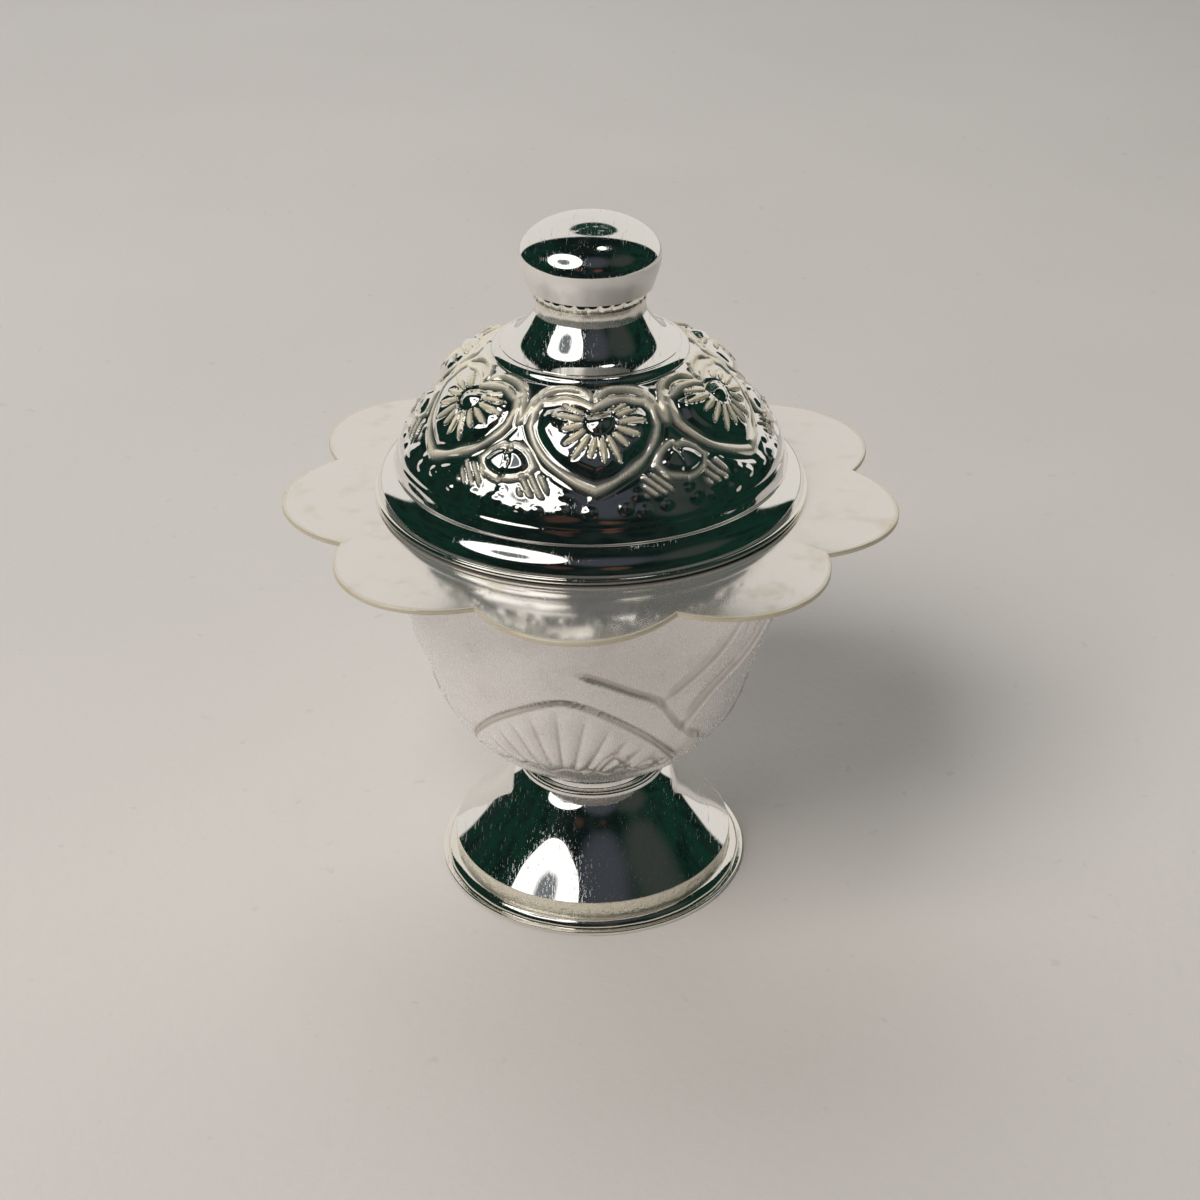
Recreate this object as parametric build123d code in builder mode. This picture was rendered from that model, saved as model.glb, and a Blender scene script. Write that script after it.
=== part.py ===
from build123d import *
import os
from math import cos, hypot, pi, radians, sin

# Footed silver box for kumkum powder. Millimetres, Z up. The origin is the centre of the foot, on the
# table. The front petal of the flange points along minus Y.
# A curve is drawn between two ends. Its points are shares, in percent, of the way across and up from
# the first end to the last, so a curve follows when the size of a part changes.

# sheet thicknesses
bowl_wall = 0.55
foot_wall = 0.5
flange_sheet = 0.45
dome_wall = 0.5
neck_wall = 0.5
knob_wall = 0.5

# foot
ledge_radius = 14.5
ledge_height = 2.5
ledge_wall = 0.7
edge_plate_reach = 1.5
edge_plate_lap = 1.0
edge_plate_height = 0.45
edge_plate_round = 0.2
bead_width = 0.95
bead_height = 0.85
cone_step = 0.1
cone_height = 7.85
cone_top_radius = 7.4
cone_curve = [(0, 0), (15.7, 12.1), (34.3, 27.4), (55.7, 48.4), (74.3, 70.7), (88.6, 89.8), (100, 100)]

# stem between foot and bowl
stem_ring_reach = 0.2
stem_ring_height = 0.7
stem_wall = 1.5
throat_depth = 0.7
throat_waist = 0.1
throat_height = 1.45
throat_flare = 0.4

# collar that stands in the mouth, and the lid that fits over it
collar_radius = 18.6
collar_wall = 0.5
collar_depth = 1.9
collar_rise = 2.1
collar_round = 0.15
lid_collar_gap = 0.15
lid_seat_gap = 0.15

# bowl
mouth_lap = 1.7
bowl_height = 29.5
bowl_curve = [(0, 0), (21.2, 5.3), (44.7, 14.7), (57.6, 23.9), (68.9, 37.5), (79.5, 52.7), (88.6, 68),
              (95.5, 83.2), (100, 100)]

# flange of nine petals round the mouth
petal_count = 9
petal_reach = 8.8
petal_half_length = 13.65
petal_half_width = 11.0
seat_margin = 0.6
flange_drop = 0.7
blank_margin = 1.0

# lid
skirt_overhang = 2.0
skirt_height = 0.85
edge_wire_reach = 0.3
edge_wire_height = 0.6
band_depth = 1.65
band_height = 1.95
band_curve = [(0, 0), (18.2, 41), (54.5, 74.4), (100, 100)]
groove_height = 0.3
dome_rise = 10.85
crown_radius = 9.5
dome_curve = [(0, 0), (2.6, 7.8), (7.9, 18.9), (20.6, 35.5), (38.6, 53.9), (56.6, 72.4), (78.8, 88.9), (100, 100)]
sleeve_wall = 0.5
sleeve_drop = 0.4

# raised hearts, their bosses and the eye-shaped buds of the lid
flower_count = 6
flower_turn = 4.5
flower_height = 0.5
flower_gap = 3.2
flower_length = 10.0
flower_below = 4.4
flower_curve = [(0, 0), (59, 22), (93, 49), (99, 78), (64, 98), (16, 96), (0, 89)]
boss_radius = 0.95
bud_half_width = 2.6
bud_half_height = 1.5
relief_depth = 3.0

# neck and knob
neck_foot_margin = 0.1
neck_foot_round = 0.8
neck_foot_height = 0.85
neck_bevel = 0.1
neck_height = 3.2
neck_top_radius = 5.25
neck_curve = [(0, 0), (34, 17), (63, 46), (86, 77), (100, 100)]
neck_ring_reach = 0.15
neck_ring_height = 1.35
neck_ring_wall = 1.2
crimp_ring_inset = 0.2
crimp_ring_height = 1.0
crimp_tooth_count = 26
crimp_tooth_radius = 0.34
cup_foot_reach = 0.05
cup_height = 3.0
cup_curve = [(0, 0), (50, 18), (84, 53), (100, 100)]
knob_radius = 6.67
cap_height = 3.55


def drawn(curve, first, last):
    """Points of a curve of shares, stretched between its two ends."""
    across_all, up_all = curve[-1]
    points = []
    for across, up in curve:
        radius = first[0] + (last[0] - first[0]) * across / across_all
        height = first[1] + (last[1] - first[1]) * up / up_all
        points.append((radius, height))
    return points


def inset(points, wall):
    """Moves an outline that runs upward by one wall towards the hollow side."""
    moved = []
    last = len(points) - 1
    for i, (r, z) in enumerate(points):
        r_before, z_before = points[max(i - 1, 0)]
        r_after, z_after = points[min(i + 1, last)]
        run = r_after - r_before
        rise = z_after - z_before
        length = hypot(run, rise)
        moved.append((r - wall * rise / length, z + wall * run / length))
    return moved


def between(low, high, share):
    """The point a share of the way from low to high."""
    return (low[0] + (high[0] - low[0]) * share, low[1] + (high[1] - low[1]) * share)


def skin_plane(low, high, share, angle):
    """A plane on the lid's skin between two points of its outline, facing out, turned to an angle."""
    radius, height = between(low, high, share)
    run = high[0] - low[0]
    rise = high[1] - low[1]
    turn = radians(angle)
    return Plane(origin=(radius * cos(turn), radius * sin(turn), height),
                 x_dir=(-sin(turn), cos(turn), 0),
                 z_dir=(rise * cos(turn), rise * sin(turn), -run))


# radii and heights that follow
skirt_radius = collar_radius + skirt_overhang
flange_seat_radius = skirt_radius + seat_margin
petal_tip_radius = flange_seat_radius + petal_reach
bowl_mouth_radius = collar_radius + mouth_lap
stem_bore = cone_top_radius - stem_wall
throat_radius = cone_top_radius - throat_depth
bowl_floor_radius = throat_radius + throat_flare
ledge_top = edge_plate_height + ledge_height
stem_bottom = ledge_top + cone_height
stem_step_top = stem_bottom + stem_ring_height
stem_top = stem_step_top + throat_height
bowl_mouth = stem_top + bowl_height
flange_seat_top = bowl_mouth + flange_sheet
collar_top = flange_seat_top + collar_rise
lid_bottom = flange_seat_top + lid_seat_gap
skirt_top = lid_bottom + skirt_height
groove_radius = skirt_radius - band_depth
groove_bottom = skirt_top + band_height
groove_top = groove_bottom + groove_height
crown = groove_top + dome_rise

os.makedirs("parts", exist_ok=True)

# Flat edge of the foot, which stands on the table
with BuildPart() as foot_edge_plate:
    with BuildSketch():
        Circle(ledge_radius + edge_plate_reach)
        Circle(ledge_radius - edge_plate_lap, mode=Mode.SUBTRACT)
    extrude(amount=edge_plate_height)
    fillet(foot_edge_plate.edges().group_by(Axis.Z)[-1].sort_by(SortBy.RADIUS)[-1], edge_plate_round)
foot_edge_plate.part.label = "foot_edge_plate"

# Rounded bead wire soldered in the corner between edge plate and ledge
bead_top = edge_plate_height + bead_height
with BuildPart() as foot_bead_ring:
    with BuildSketch(Plane.XZ):
        with BuildLine():
            Line((ledge_radius, edge_plate_height), (ledge_radius + bead_width, edge_plate_height))
            ThreePointArc((ledge_radius + bead_width, edge_plate_height),
                          (ledge_radius + bead_width * 0.8, edge_plate_height + bead_height * 0.75),
                          (ledge_radius, bead_top))
            Line((ledge_radius, bead_top), (ledge_radius, edge_plate_height))
        make_face()
    revolve(axis=Axis.Z)
foot_bead_ring.part.label = "foot_bead_ring"

# Short upright band under the edge of the cone
with BuildPart() as foot_ledge_band:
    with BuildSketch(Plane.XY.offset(edge_plate_height)):
        Circle(ledge_radius)
        Circle(ledge_radius - ledge_wall, mode=Mode.SUBTRACT)
    extrude(amount=ledge_height)
foot_ledge_band.part.label = "foot_ledge_band"

# Spun foot that flares from the stem to the ledge
cone_outline = drawn(cone_curve, (ledge_radius - cone_step, ledge_top), (cone_top_radius, stem_bottom))
cone_inside = inset(cone_outline, foot_wall)
cone_inside[0] = (cone_outline[0][0] - foot_wall, ledge_top)
cone_inside[-1] = (cone_top_radius - foot_wall, stem_bottom)
with BuildPart() as foot_cone:
    with BuildSketch(Plane.XZ):
        with BuildLine():
            Spline(*cone_outline)
            Line(cone_outline[-1], cone_inside[-1])
            Spline(*reversed(cone_inside))
            Line(cone_inside[0], cone_outline[0])
        make_face()
    revolve(axis=Axis.Z)
foot_cone.part.label = "foot_cone"

# Turned ring of the stem: a step, then the narrow throat under the bowl
with BuildPart() as stem_ring:
    with BuildSketch(Plane.XZ):
        with BuildLine():
            Polyline((stem_bore, stem_bottom), (cone_top_radius, stem_bottom))
            ThreePointArc((cone_top_radius, stem_bottom),
                          (cone_top_radius + stem_ring_reach, (stem_bottom + stem_step_top) / 2),
                          (cone_top_radius, stem_step_top))
            Line((cone_top_radius, stem_step_top), (throat_radius, stem_step_top))
            ThreePointArc((throat_radius, stem_step_top),
                          (throat_radius - throat_waist, (stem_step_top + stem_top) / 2),
                          (bowl_floor_radius, stem_top))
            Polyline((bowl_floor_radius, stem_top), (stem_bore, stem_top), (stem_bore, stem_bottom))
        make_face()
    revolve(axis=Axis.Z)
stem_ring.part.label = "stem_ring"

# Bowl of one sheet with a closed floor
bowl_outline = drawn(bowl_curve, (bowl_floor_radius, stem_top), (bowl_mouth_radius, bowl_mouth))
bowl_inside = inset(bowl_outline, bowl_wall)
bowl_inside[0] = (bowl_floor_radius, stem_top + bowl_wall)
bowl_inside[-1] = (bowl_mouth_radius - bowl_wall, bowl_mouth)
with BuildPart() as bowl_shell:
    with BuildSketch(Plane.XZ):
        with BuildLine():
            Line((0, stem_top), bowl_outline[0])
            Spline(*bowl_outline)
            Line(bowl_outline[-1], bowl_inside[-1])
            Spline(*reversed(bowl_inside))
            Polyline(bowl_inside[0], (0, stem_top + bowl_wall), (0, stem_top))
        make_face()
    revolve(axis=Axis.Z)
bowl_shell.part.label = "bowl_shell"

# Sheet flange: level under the lid, then falling gently to the tips of its petals
flange_blank_radius = petal_tip_radius + blank_margin
tip_top = flange_seat_top - flange_drop
with BuildPart() as petal_flange:
    with BuildSketch(Plane.XZ):
        with BuildLine():
            Polyline((collar_radius, flange_seat_top - flange_sheet),
                     (flange_seat_radius, flange_seat_top - flange_sheet),
                     (flange_blank_radius, tip_top - flange_sheet),
                     (flange_blank_radius, tip_top),
                     (flange_seat_radius, flange_seat_top),
                     (collar_radius, flange_seat_top),
                     (collar_radius, flange_seat_top - flange_sheet))
        make_face()
    revolve(axis=Axis.Z)
    with BuildSketch(Plane.XY.offset(flange_seat_top - flange_sheet - flange_drop * 2)):
        Circle(flange_seat_radius)
        with PolarLocations(petal_tip_radius - petal_half_length, petal_count, start_angle=-90):
            Ellipse(petal_half_length, petal_half_width)
    extrude(amount=flange_sheet + flange_drop * 3, mode=Mode.INTERSECT)
petal_flange.part.label = "petal_flange"

# Collar standing in the mouth
with BuildPart() as rim_collar:
    with BuildSketch(Plane.XY.offset(flange_seat_top - collar_depth)):
        Circle(collar_radius)
        Circle(collar_radius - collar_wall, mode=Mode.SUBTRACT)
    extrude(amount=collar_depth + collar_rise)
    fillet(rim_collar.edges().group_by(Axis.Z)[-1], collar_round)
rim_collar.part.label = "rim_collar"

# Outlines of the lid
band_outline = drawn(band_curve, (skirt_radius, skirt_top), (groove_radius, groove_bottom))
band_inside = inset(band_outline, dome_wall)
band_inside[0] = (skirt_radius - dome_wall, skirt_top)
dome_outline = drawn(dome_curve, (groove_radius, groove_top), (crown_radius, crown))
dome_inside = inset(dome_outline, dome_wall)
dome_inside[0] = (groove_radius - dome_wall, groove_top)
dome_inside[-1] = (crown_radius - dome_wall, crown - dome_wall)

# Blocks in the outline of the hearts and buds, cut off at the height of the relief
raised_outline = inset(dome_outline, -flower_height)
flower_low = dome_outline[4]
flower_high = dome_outline[5]
flower_half_width = between(flower_low, flower_high, 0.5)[0] * sin(pi / flower_count) - flower_gap / 2
half_heart = []
for across, up in flower_curve:
    half_heart.append((flower_half_width * across / 100, flower_length * up / 100 - flower_below))
with BuildPart() as lid_relief:
    for number in range(flower_count):
        flower_angle = flower_turn - 90 + 360 / flower_count * number
        with BuildSketch(skin_plane(flower_low, flower_high, 0.5, flower_angle)):
            with BuildLine():
                Spline(*half_heart)
                Spline(*[(-across, up) for across, up in half_heart])
            make_face()
        with BuildSketch(skin_plane(dome_outline[3], dome_outline[4], 0.77, flower_angle + 180 / flower_count)):
            Ellipse(bud_half_width, bud_half_height)
    extrude(amount=relief_depth, both=True)
    with BuildSketch(Plane.XZ):
        with BuildLine():
            Line((0, groove_top), raised_outline[0])
            Spline(*raised_outline)
            Polyline(raised_outline[-1], (0, raised_outline[-1][1]), (0, groove_top))
        make_face()
    revolve(axis=Axis.Z, mode=Mode.INTERSECT)

# Domed lid: skirt, rounded band, groove, then the dome with its relief and a boss in each heart
boss_radius_at, boss_height_at = between(dome_outline[5], dome_outline[6], 0.67)
with BuildPart() as lid_dome:
    with BuildSketch(Plane.XZ):
        with BuildLine():
            Line((0, lid_bottom), (skirt_radius, lid_bottom))
            Line((skirt_radius, lid_bottom), band_outline[0])
            Spline(*band_outline)
            Line(band_outline[-1], dome_outline[0])
            Spline(*dome_outline)
            Polyline(dome_outline[-1], (0, crown), (0, lid_bottom))
        make_face()
    revolve(axis=Axis.Z)
    add(lid_relief.part)
    with Locations(Plane.XY.offset(boss_height_at)):
        with PolarLocations(boss_radius_at, flower_count, start_angle=flower_turn - 90):
            Sphere(boss_radius)
    with BuildSketch(Plane.XZ):
        with BuildLine():
            Line((0, lid_bottom), (skirt_radius - dome_wall, lid_bottom))
            Line((skirt_radius - dome_wall, lid_bottom), band_inside[0])
            Spline(*band_inside)
            Line(band_inside[-1], dome_inside[0])
            Spline(*dome_inside)
            Polyline(dome_inside[-1], (0, crown - dome_wall), (0, lid_bottom))
        make_face()
    revolve(axis=Axis.Z, mode=Mode.SUBTRACT)
lid_dome.part.label = "lid_dome"

# Half-round wire along the lid's lower edge
with BuildPart() as lid_edge_wire:
    with BuildSketch(Plane.XZ):
        with BuildLine():
            ThreePointArc((skirt_radius, lid_bottom),
                          (skirt_radius + edge_wire_reach, lid_bottom + edge_wire_height / 2),
                          (skirt_radius, lid_bottom + edge_wire_height))
            Line((skirt_radius, lid_bottom + edge_wire_height), (skirt_radius, lid_bottom))
        make_face()
    revolve(axis=Axis.Z)
lid_edge_wire.part.label = "lid_edge_wire"

# Guide sleeve inside the lid that slides over the collar, with a rim that meets the skirt
sleeve_bore = collar_radius + lid_collar_gap
with BuildPart() as lid_sleeve:
    with BuildSketch(Plane.XZ):
        with BuildLine():
            Polyline((sleeve_bore, lid_bottom + sleeve_wall),
                     (skirt_radius - dome_wall, lid_bottom + sleeve_wall),
                     (skirt_radius - dome_wall, lid_bottom),
                     (sleeve_bore, lid_bottom),
                     (sleeve_bore, lid_bottom + sleeve_wall))
        make_face()
    revolve(axis=Axis.Z)
    with BuildSketch(Plane.XY.offset(lid_bottom)):
        Circle(sleeve_bore + sleeve_wall)
        Circle(sleeve_bore, mode=Mode.SUBTRACT)
    extrude(amount=collar_top - sleeve_drop - lid_bottom)
lid_sleeve.part.label = "lid_sleeve"

# Flared neck on a rounded foot, hollow
neck_foot_radius = crown_radius - neck_foot_margin
neck_step_radius = neck_foot_radius - neck_foot_round
neck_foot_top = crown + neck_foot_height
neck_bottom = neck_foot_top + neck_bevel / 2
neck_top = neck_bottom + neck_height
neck_outline = drawn(neck_curve, (neck_step_radius - neck_bevel, neck_bottom), (neck_top_radius, neck_top))
neck_inside = inset(neck_outline, neck_wall)
neck_inside[-1] = (neck_top_radius - neck_wall, neck_top)
with BuildPart() as knob_neck:
    with BuildSketch(Plane.XZ):
        with BuildLine():
            Line((neck_inside[0][0], crown), (neck_foot_radius, crown))
            ThreePointArc((neck_foot_radius, crown),
                          (neck_foot_radius - neck_foot_round * 0.25, crown + neck_foot_height * 0.7),
                          (neck_step_radius, neck_foot_top))
            Line((neck_step_radius, neck_foot_top), neck_outline[0])
            Spline(*neck_outline)
            Line(neck_outline[-1], neck_inside[-1])
            Spline(*reversed(neck_inside))
            Line(neck_inside[0], (neck_inside[0][0], crown))
        make_face()
    revolve(axis=Axis.Z)
knob_neck.part.label = "knob_neck"

# Plain ring at the top of the neck
ring_bore = neck_top_radius - neck_ring_wall
neck_ring_top = neck_top + neck_ring_height
with BuildPart() as knob_neck_ring:
    with BuildSketch(Plane.XY.offset(neck_top)):
        Circle(neck_top_radius + neck_ring_reach)
        Circle(ring_bore, mode=Mode.SUBTRACT)
    extrude(amount=neck_ring_height)
knob_neck_ring.part.label = "knob_neck_ring"

# Toothed ring between neck and knob
crimp_ring_radius = neck_top_radius - crimp_ring_inset
with BuildPart() as knob_crimp_ring:
    with BuildSketch(Plane.XY.offset(neck_ring_top)):
        Circle(crimp_ring_radius)
        with PolarLocations(crimp_ring_radius, crimp_tooth_count):
            Circle(crimp_tooth_radius)
        Circle(ring_bore, mode=Mode.SUBTRACT)
    extrude(amount=crimp_ring_height)
knob_crimp_ring.part.label = "knob_crimp_ring"

# Lower half of the hollow knob, with a closed floor
cup_bottom = neck_ring_top + crimp_ring_height
cup_top = cup_bottom + cup_height
cup_outline = drawn(cup_curve, (neck_top_radius + cup_foot_reach, cup_bottom), (knob_radius, cup_top))
cup_inside = inset(cup_outline, knob_wall)
cup_inside[0] = (cup_outline[0][0] - knob_wall, cup_bottom + knob_wall)
cup_inside[-1] = (knob_radius - knob_wall, cup_top)
with BuildPart() as knob_cup:
    with BuildSketch(Plane.XZ):
        with BuildLine():
            Line((0, cup_bottom), cup_outline[0])
            Spline(*cup_outline)
            Line(cup_outline[-1], cup_inside[-1])
            Spline(*reversed(cup_inside))
            Polyline(cup_inside[0], (0, cup_bottom + knob_wall), (0, cup_bottom))
        make_face()
    revolve(axis=Axis.Z)
knob_cup.part.label = "knob_cup"

# Upper half of the knob, a flattened dome, upright at its edge and level at its top
knob_top = cup_top + cap_height
with BuildPart() as knob_cap:
    with BuildSketch(Plane.XZ):
        with BuildLine():
            for wall in (0, knob_wall):
                Spline((knob_radius - wall, cup_top),
                       ((knob_radius - wall) * cos(pi / 4), cup_top + (cap_height - wall) * sin(pi / 4)),
                       (0, knob_top - wall),
                       tangents=[(0, 1), (-1, 0)])
            Line((0, knob_top), (0, knob_top - knob_wall))
            Line((knob_radius - knob_wall, cup_top), (knob_radius, cup_top))
        make_face()
    revolve(axis=Axis.Z)
knob_cap.part.label = "knob_cap"

export_step(foot_edge_plate.part, "parts/foot_edge_plate.step")
export_step(foot_bead_ring.part, "parts/foot_bead_ring.step")
export_step(foot_ledge_band.part, "parts/foot_ledge_band.step")
export_step(foot_cone.part, "parts/foot_cone.step")
export_step(stem_ring.part, "parts/stem_ring.step")
export_step(bowl_shell.part, "parts/bowl_shell.step")
export_step(petal_flange.part, "parts/petal_flange.step")
export_step(rim_collar.part, "parts/rim_collar.step")
export_step(lid_dome.part, "parts/lid_dome.step")
export_step(lid_edge_wire.part, "parts/lid_edge_wire.step")
export_step(lid_sleeve.part, "parts/lid_sleeve.step")
export_step(knob_neck.part, "parts/knob_neck.step")
export_step(knob_neck_ring.part, "parts/knob_neck_ring.step")
export_step(knob_crimp_ring.part, "parts/knob_crimp_ring.step")
export_step(knob_cup.part, "parts/knob_cup.step")
export_step(knob_cap.part, "parts/knob_cap.step")
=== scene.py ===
# %% [markdown]
# This scene dresses a small footed silver box for kumkum powder. The CAD model gives the frame:
# every piece below is made in metres in that same frame, so nothing has to be fitted by eye.

# %% Load the frame
import math
import bpy
import bmesh
import numpy as np
from mathutils import Matrix, Vector


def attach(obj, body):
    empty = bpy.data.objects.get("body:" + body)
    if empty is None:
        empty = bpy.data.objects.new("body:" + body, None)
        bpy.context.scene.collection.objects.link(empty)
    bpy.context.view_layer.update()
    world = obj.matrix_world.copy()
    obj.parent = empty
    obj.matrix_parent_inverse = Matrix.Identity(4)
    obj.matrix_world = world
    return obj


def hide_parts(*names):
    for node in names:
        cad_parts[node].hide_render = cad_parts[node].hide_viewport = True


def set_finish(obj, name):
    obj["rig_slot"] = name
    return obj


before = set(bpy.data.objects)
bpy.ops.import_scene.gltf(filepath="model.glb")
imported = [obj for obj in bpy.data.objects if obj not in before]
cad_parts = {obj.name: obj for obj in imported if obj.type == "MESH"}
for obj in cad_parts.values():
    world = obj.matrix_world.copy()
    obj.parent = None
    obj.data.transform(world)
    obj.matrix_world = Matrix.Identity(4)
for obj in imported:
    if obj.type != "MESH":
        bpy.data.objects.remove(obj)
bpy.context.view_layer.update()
MM = 0.001

# %% [markdown]
# Each turned piece starts as an outline of (radius, height) points in millimetres. A natural cubic
# spline through a few points gives a smooth curve with many rows. Polished metal shows every kink
# of an outline in its reflections, so the curve matters more here than on a dull material.

# %% Smooth an outline
TINY = 1e-12
SAMPLES_PER_ROW = 8


def run_along(outline):
    """The distance along an outline at each of its points."""
    return np.concatenate([[0.0], np.cumsum(np.hypot(*np.diff(outline, axis=0).T))])


def smooth(points, count):
    """Rows on a natural cubic spline through the points, evenly spaced along its length."""
    points = np.array(points, float)
    knots = run_along(points)
    steps = np.hypot(*np.diff(points, axis=0).T)
    n = len(points)
    system = np.eye(n)
    right = np.zeros((n, 2))
    for i in range(1, n - 1):
        before, after = steps[i - 1], steps[i]
        system[i, i - 1:i + 2] = before, 2 * (before + after), after
        right[i] = 6 * ((points[i + 1] - points[i]) / after - (points[i] - points[i - 1]) / before)
    bend = np.linalg.solve(system, right)
    fine = np.linspace(0, knots[-1], count * SAMPLES_PER_ROW)
    i = np.clip(np.searchsorted(knots, fine) - 1, 0, n - 2)
    h = steps[i][:, None]
    a = (knots[i + 1] - fine)[:, None]
    b = (fine - knots[i])[:, None]
    curve = (bend[i] * a ** 3 + bend[i + 1] * b ** 3) / (6 * h)
    curve += (points[i] / h - bend[i] * h / 6) * a + (points[i + 1] / h - bend[i + 1] * h / 6) * b
    run = run_along(curve)
    even = np.linspace(0, run[-1], count)
    return np.column_stack([np.interp(even, run, curve[:, 0]), np.interp(even, run, curve[:, 1])])


print("a curve is measured at", SAMPLES_PER_ROW, "samples for each of its rows")

# %% [markdown]
# Sheet silver has an outside and an inside. The inside is the outside moved by the wall's thickness,
# at right angles to the way the outline runs. Working this out on the outline is surer than a
# Solidify modifier here, because the wall then closes at rims and bottoms exactly as it is drawn.

# %% Join outlines and find the hollow side
SAME_POINT = 1e-5


def rows(*runs):
    """Joins several runs of points into one outline and drops the points that repeat."""
    joined = np.vstack([np.array(run, float).reshape(-1, 2) for run in runs])
    keep = [0]
    for i in range(1, len(joined)):
        if np.hypot(*(joined[i] - joined[keep[-1]])) > SAME_POINT:
            keep.append(i)
    return joined[keep]


def heading(outline):
    """The way an outline runs at each of its points, as a direction of length one."""
    way = np.gradient(outline, axis=0)
    return way / np.maximum(np.hypot(way[:, 0], way[:, 1]), TINY)[:, None]


def inset(outline, wall):
    """An outline moved by one wall towards its left as it runs, the hollow side of an upward run."""
    way = heading(outline)
    return outline + wall * np.column_stack([-way[:, 1], way[:, 0]])


print("points within", SAME_POINT, "mm count as one")

# %% [markdown]
# A spin turns an outline into a mesh. Blender could spin the whole circle in one step, but spinning
# a thirty-second of a turn and doubling that sector five times is far quicker. Merging the doubles
# closes the seams and the poles. A number layer travels with every vertex: its row in the outline.

# %% Spin an outline into a mesh
SECTORS = 32
MERGE_WITHIN = 2e-7


def spun(outline, steps):
    """The outline swept all the way round the axis, as a closed bmesh."""
    bm = bmesh.new()
    row_layer = bm.verts.layers.int.new("row")
    made = [bm.verts.new((r * MM, 0, z * MM)) for r, z in outline]
    for row, vert in enumerate(made):
        vert[row_layer] = row
    edges = [bm.edges.new(pair) for pair in zip(made, made[1:] + made[:1])]
    bmesh.ops.spin(bm, geom=made + edges, axis=(0, 0, 1), cent=(0, 0, 0), angle=math.tau / SECTORS,
                   steps=steps // SECTORS, use_merge=False, use_duplicate=False)
    done = 1
    while done < SECTORS:
        copy = bmesh.ops.duplicate(bm, geom=bm.verts[:] + bm.edges[:] + bm.faces[:])["geom"]
        copied = [part for part in copy if isinstance(part, bmesh.types.BMVert)]
        bmesh.ops.rotate(bm, verts=copied, cent=(0, 0, 0),
                         matrix=Matrix.Rotation(math.tau * done / SECTORS, 3, "Z"))
        done *= 2
    bmesh.ops.remove_doubles(bm, verts=bm.verts, dist=MERGE_WITHIN)
    return bm


print("each piece is spun through", 360 / SECTORS, "degrees and doubled", int(math.log2(SECTORS)), "times")

# %% [markdown]
# Hammered relief is worked out on a grid, with one line for each row of the outline and one column
# for each step of the spin. The grid also gives a recess, which tells how far a place lies below its
# surroundings, and a tone, which tells where the silver is dull and cream instead of polished. Bump
# in a material could fake the height, but the real sheet is bent, and its outline shows that.

# %% Read the relief for each vertex
NEAR_AXIS = 0.5
SURROUNDINGS = 3


def around_mean(grid, reach):
    """The mean height a few samples away in eight directions, to tell recesses from ridges."""
    padded = np.pad(grid, ((reach, reach), (0, 0)), mode="edge")
    lines = grid.shape[0]
    total = np.zeros_like(grid)
    for up in (-reach, 0, reach):
        for side in (-reach, 0, reach):
            if up or side:
                total += np.roll(padded[reach + up:reach + up + lines], side, axis=1) / 8
    return total


def hammered(relief, relief_rows, outline, steps, row, azimuth, radius):
    """Height, recess and tone of each vertex, read from the grid at its row and its step."""
    turns, lines = np.meshgrid(np.arange(steps) * 360 / steps, np.arange(relief_rows))
    turns = (turns + 180) % 360 - 180
    grid, dull = relief(turns, run_along(outline)[lines], np.maximum(outline[lines, 0], NEAR_AXIS))
    deep = around_mean(grid, SURROUNDINGS) - grid
    on = (row < relief_rows) & (radius > NEAR_AXIS)
    column = np.round(azimuth[on] * steps / 360).astype(int) % steps
    read = np.zeros((3, len(row)))
    for values, source in zip(read, (grid, deep, dull)):
        values[on] = source[row[on], column]
    return read


print("a recess is measured against what lies", SURROUNDINGS, "steps away")

# %% [markdown]
# The next helper makes a whole piece. It spins the outline, pushes each vertex out along the
# outline's own normal by its relief, and lets a last function reshape the piece where it isn't round.
# The recess and tone are stored as attributes for the material. The last lines tie the piece to the
# CAD model: the node that it stands for, the body that it moves with and the finish that it takes.

# %% Make a finished piece
SHARP_ANGLE = 38
pieces = []


def turned(name, outline, steps, body, nodes, slot, relief=None, relief_rows=0, reshape=None):
    """Makes a piece. Relief lies on the first relief_rows rows of its outline."""
    outline = np.asarray(outline, float)
    bm = spun(outline, steps)
    row_layer = bm.verts.layers.int["row"]
    place = np.array([vert.co[:] for vert in bm.verts]) / MM
    row = np.array([vert[row_layer] for vert in bm.verts])
    azimuth = np.degrees(np.arctan2(place[:, 0], -place[:, 1]))
    radius = np.hypot(place[:, 0], place[:, 1])
    height, recess, tone = np.zeros((3, len(place)))
    if relief is not None:
        height, recess, tone = hammered(relief, relief_rows, outline, steps, row, azimuth, radius)
        way = heading(outline)[row]
        outward = place[:, :2] / np.maximum(radius, TINY)[:, None]
        place[:, :2] += outward * (height * way[:, 1])[:, None]
        place[:, 2] -= height * way[:, 0]
    if reshape is not None:
        place = reshape(place, azimuth, radius)
    for vert, co in zip(bm.verts, place * MM):
        vert.co = co
    bmesh.ops.recalc_face_normals(bm, faces=bm.faces)
    for face in bm.faces:
        face.smooth = True
    mesh = bpy.data.meshes.new(name)
    bm.to_mesh(mesh)
    bm.free()
    for key, values in (("recess", recess), ("tone", tone)):
        mesh.attributes.new(key, "FLOAT", "POINT").data.foreach_set("value", values.astype(np.float32))
    mesh.set_sharp_from_angle(angle=math.radians(SHARP_ANGLE))
    obj = bpy.data.objects.new(name, mesh)
    bpy.context.scene.collection.objects.link(obj)
    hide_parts(*nodes)
    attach(obj, body)
    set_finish(obj, slot)
    pieces.append(obj)
    print(name, len(mesh.polygons), "faces, relief up to", round(float(height.max()), 2), "mm")

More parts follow.
